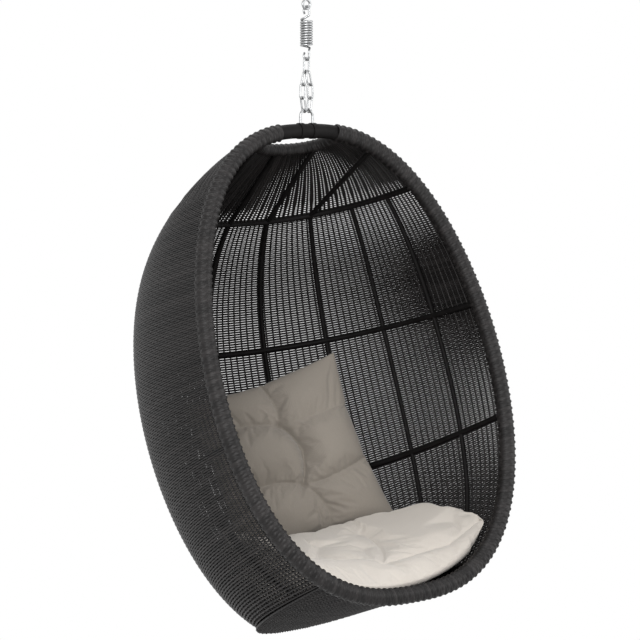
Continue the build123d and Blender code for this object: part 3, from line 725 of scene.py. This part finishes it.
def seatBlank():  # the plain solid in an even mesh, smoothed
    bm = bmesh.new()
    bm.from_mesh(nodes["seat_cushion"].data)
    bm.transform(nodes["seat_cushion"].matrix_world)
    bmesh.ops.remove_doubles(bm, verts=bm.verts[:], dist=weldDistance)
    rough = newPiece("seatRough", bm)
    remesh = rough.modifiers.new("even", "REMESH")
    remesh.mode, remesh.voxel_size = "VOXEL", seat["voxel"]
    smooth = rough.modifiers.new("round", "SMOOTH")
    smooth.factor, smooth.iterations = 0.5, seat["smooth"]
    return linked("seatCushion", finishedMesh(rough, "seatCushion"))


def fillDimples(x, n, s, upShare):  # the plain solid's dimples come up level with the ring around them
    for spotX, spotN in seat["plain"]:
        away = np.hypot(x - spotX, n - spotN)
        ring = (upShare > seat["levelFrom"]) & (away > seat["plainRadius"]) & (away < seat["plainRing"])
        terms = np.stack([np.ones_like(x), x, n, x * x, n * n, x * n], axis=1)
        level = terms @ np.linalg.lstsq(terms[ring], s[ring], rcond=None)[0]
        inside = np.clip((seat["plainRadius"] - away) / seat["plainFade"], 0, 1)
        s = s + (level - s) * inside * (upShare > seat["facingUp"])
    return s


def reachRound(x, n, s):  # the ends reach round to the hoop, and the middle of the back edge comes down
    share = np.clip(np.abs(x) / seat["halfWidth"], 0, seat["mostShare"]) ** 3
    front = np.clip(seat["frontShare"] - (n - seat["endFront"]) / seat["frontFade"], 0, 1)
    back = np.clip((n - seat["lowerFrom"]) / seat["lowerFade"], 0, 1)
    low = np.clip((seat["outwardTo"] - s) / seat["outwardFade"], 0, 1)
    x = x + np.sign(x) * seat["outward"] * share * low
    n = n - seat["forward"] * share * front
    return podPoints(x, n, s + seat["lower"] * back * (1 - seat["endsLift"] * share))


def roundEnds(mesh):
    bm = bmesh.new()
    bm.from_mesh(mesh)
    ends = [v for v in bm.verts if abs(v.co.x) > seat["roundFrom"] * seat["halfWidth"]]
    for step in range(seat["rounding"]):
        bmesh.ops.smooth_vert(bm, verts=ends, factor=0.5, use_axis_x=True, use_axis_y=True, use_axis_z=True)
    bm.to_mesh(mesh)
    bm.free()


seatCushion = seatBlank()
seatMesh = seatCushion.data
x, n, s = podCoords(meshPoints(seatMesh))
s = fillDimples(x, n, s, meshNormals(seatMesh) @ podUp)
seatMesh.vertices.foreach_set("co", reachRound(x, n, s).ravel())
roundEnds(seatMesh)
points, normals = meshPoints(seatMesh), meshNormals(seatMesh)
upper = np.clip((normals @ podUp) * seat["topGain"] + seat["topStart"], 0, 1)
x, n, s = podCoords(points)
dip, near = pressedFolds(np.stack([x, n], axis=1), seat)
points -= normals * (dip * upper + seat["shrink"])[:, None]
seatMesh.vertices.foreach_set("co", points.ravel())
seatMesh.update()
folded = (near < seat["sewnWithin"]) & (upper > seat["sewnFrom"])
plump(seatCushion, (upper < seat["underTo"]) | folded, seat)
dress(seatCushion, seatCloth, "seat_pad", "seat_cloth", "seat_cushion")
softened(seatCushion)
print("seat cushion sewn:", len(points), "points")


# studio: white floor and sky for the camera, soft lamps round the chair
studio = dict(floorDrop=0.42, floorSize=30.0, floorGrey=(0.8, 0.8, 0.8, 1), floorRoughness=0.9, world=0.60,
              white=(1, 1, 1, 1), lampAim=(0, 0, -1.0))
lamps = dict(keyLamp=dict(place=(-2.6, -2.6, 0.4), size=2.2, power=112),
             fillLamp=dict(place=(2.8, -2.8, 0.0), size=2.6, power=60),
             topLamp=dict(place=(0.3, 0.4, 2.2), size=2.4, power=34))
floorMesh = bpy.data.meshes.new("floor")
bm = bmesh.new()
bmesh.ops.create_grid(bm, x_segments=1, y_segments=1, size=studio["floorSize"])
bmesh.ops.translate(bm, verts=bm.verts[:], vec=(0, 0, cadBox[0][2] - studio["floorDrop"]))
bm.to_mesh(floorMesh)
bm.free()
floor = linked("floor", floorMesh)


def whiteForCamera(tree, plain, glowKind):  # a plain surface that the camera and reflections see as white
    path = tree.nodes.new("ShaderNodeLightPath")
    seen = path.outputs["Is Camera Ray"]
    for kind in ("Is Glossy Ray", "Is Transmission Ray"):
        either = tree.nodes.new("ShaderNodeMath")
        either.operation = "MAXIMUM"
        tree.links.new(seen, either.inputs[0])
        tree.links.new(path.outputs[kind], either.inputs[1])
        seen = either.outputs[0]
    glow = tree.nodes.new(glowKind)
    glow.inputs["Color"].default_value = studio["white"]
    glow.inputs["Strength"].default_value = 1.0
    mix = tree.nodes.new("ShaderNodeMixShader")
    tree.links.new(seen, mix.inputs[0])
    tree.links.new(plain.outputs[0], mix.inputs[1])
    tree.links.new(glow.outputs[0], mix.inputs[2])
    return mix.outputs[0]


floorLook = bpy.data.materials.new("floorWhite")
floorLook.use_nodes = True
floorTree = floorLook.node_tree
plainFloor = floorTree.nodes["Principled BSDF"]
plainFloor.inputs["Base Color"].default_value = studio["floorGrey"]
plainFloor.inputs["Roughness"].default_value = studio["floorRoughness"]
floorTree.links.new(whiteForCamera(floorTree, plainFloor, "ShaderNodeEmission"),
                    floorTree.nodes["Material Output"].inputs["Surface"])
floorMesh.materials.append(floorLook)

world = bpy.data.worlds.new("studio")
bpy.context.scene.world = world
world.use_nodes = True
skyTree = world.node_tree
sky = skyTree.nodes["Background"]
sky.inputs["Color"].default_value = studio["white"]
sky.inputs["Strength"].default_value = studio["world"]
skyTree.links.new(whiteForCamera(skyTree, sky, "ShaderNodeBackground"),
                  skyTree.nodes["World Output"].inputs["Surface"])


def softLamp(name, place, size, power):
    data = bpy.data.lights.new(name, "AREA")
    data.shape = "SQUARE"
    data.size, data.energy = size, power
    lamp = linked(name, data)
    lamp.location = place
    lamp.rotation_euler = (Vector(studio["lampAim"]) - Vector(place)).to_track_quat("-Z", "Y").to_euler()


for name, lamp in lamps.items():
    softLamp(name, **lamp)
print("studio lit:", len(lamps), "lamps")


# camera at the photograph's angle
lens = dict(distance=6.0, azimuth=-38.319, elevation=5.531, focal=128.39, sensor=36, farthest=60,
            right=0.035198, up=0.064876, down=0.560)
a, e = math.radians(lens["azimuth"]), math.radians(lens["elevation"])
towards = Vector((math.sin(a) * math.cos(e), -math.cos(a) * math.cos(e), math.sin(e)))
rightward = Vector((math.cos(a), math.sin(a), 0))
upward = towards.cross(rightward)
aim = Vector((0, 0, pod["top"] - lens["down"])) + rightward * lens["right"] + upward * lens["up"]
camera = linked("camera", bpy.data.cameras.new("camera"))
camera.data.lens = lens["focal"]
camera.data.sensor_width = camera.data.sensor_height = lens["sensor"]
camera.data.clip_end = lens["farthest"]
camera.matrix_world = Matrix.Translation(aim + towards * lens["distance"]) @ Matrix(
    (rightward, upward, towards)).transposed().to_4x4()
bpy.context.scene.camera = camera
bpy.context.scene.view_settings.view_transform = "Standard"

print("scene built")
